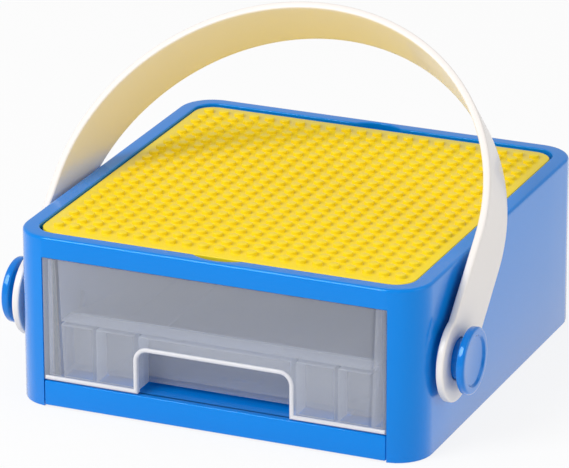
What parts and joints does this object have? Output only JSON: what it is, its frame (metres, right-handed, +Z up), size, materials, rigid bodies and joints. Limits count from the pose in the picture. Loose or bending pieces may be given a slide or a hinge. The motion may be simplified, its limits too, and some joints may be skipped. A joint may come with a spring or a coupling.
{
  "type": "carry box with drawer",
  "caption": "Square plastic carry box with a translucent pull-out drawer, a lift-off studded plate in its top and a swinging strap handle.",
  "frame": {"origin": "centre of the box's footprint on the surface it stands on", "axes": "+Z up, the drawer's front faces -Y, +X to the right of someone facing the drawer"},
  "size_m": [0.2286, 0.204, 0.1637],
  "materials": {
    "shell_blue": "glossy moulded",
    "drawer_frosted": "frosted translucent",
    "plate_yellow": "glossy moulded",
    "handle_cream": "satin moulded",
    "cap_blue": "glossy moulded",
    "fastener_steel": "plated"
  },
  "bodies": {
    "housing": {"housing_shell": "shell_blue", "base_tray": "shell_blue", "pivot_cap_left": "cap_blue", "pivot_cap_right": "cap_blue", "pivot_washers": "fastener_steel", "pivot_screws": "fastener_steel", "base_screws": "fastener_steel"},
    "drawer": {"drawer": "drawer_frosted"},
    "plate": {"stud_plate": "plate_yellow"},
    "handle": {"carry_handle": "handle_cream"}
  },
  "joints": [
    {"name": "handle_swing", "type": "hinge", "parent": "housing", "child": "handle", "pos_m": [0, -0.0695, 0.0415], "axis": [1, 0, 0], "range_deg": [0, 105]},
    {"name": "drawer_slide", "type": "slide", "parent": "housing", "child": "drawer", "axis": [0, -1, 0], "range_m": [0, 0.15]},
    {"name": "plate_lift", "type": "slide", "parent": "housing", "child": "plate", "axis": [0, 0, 1], "range_m": [0, 0.012]}
  ]
}
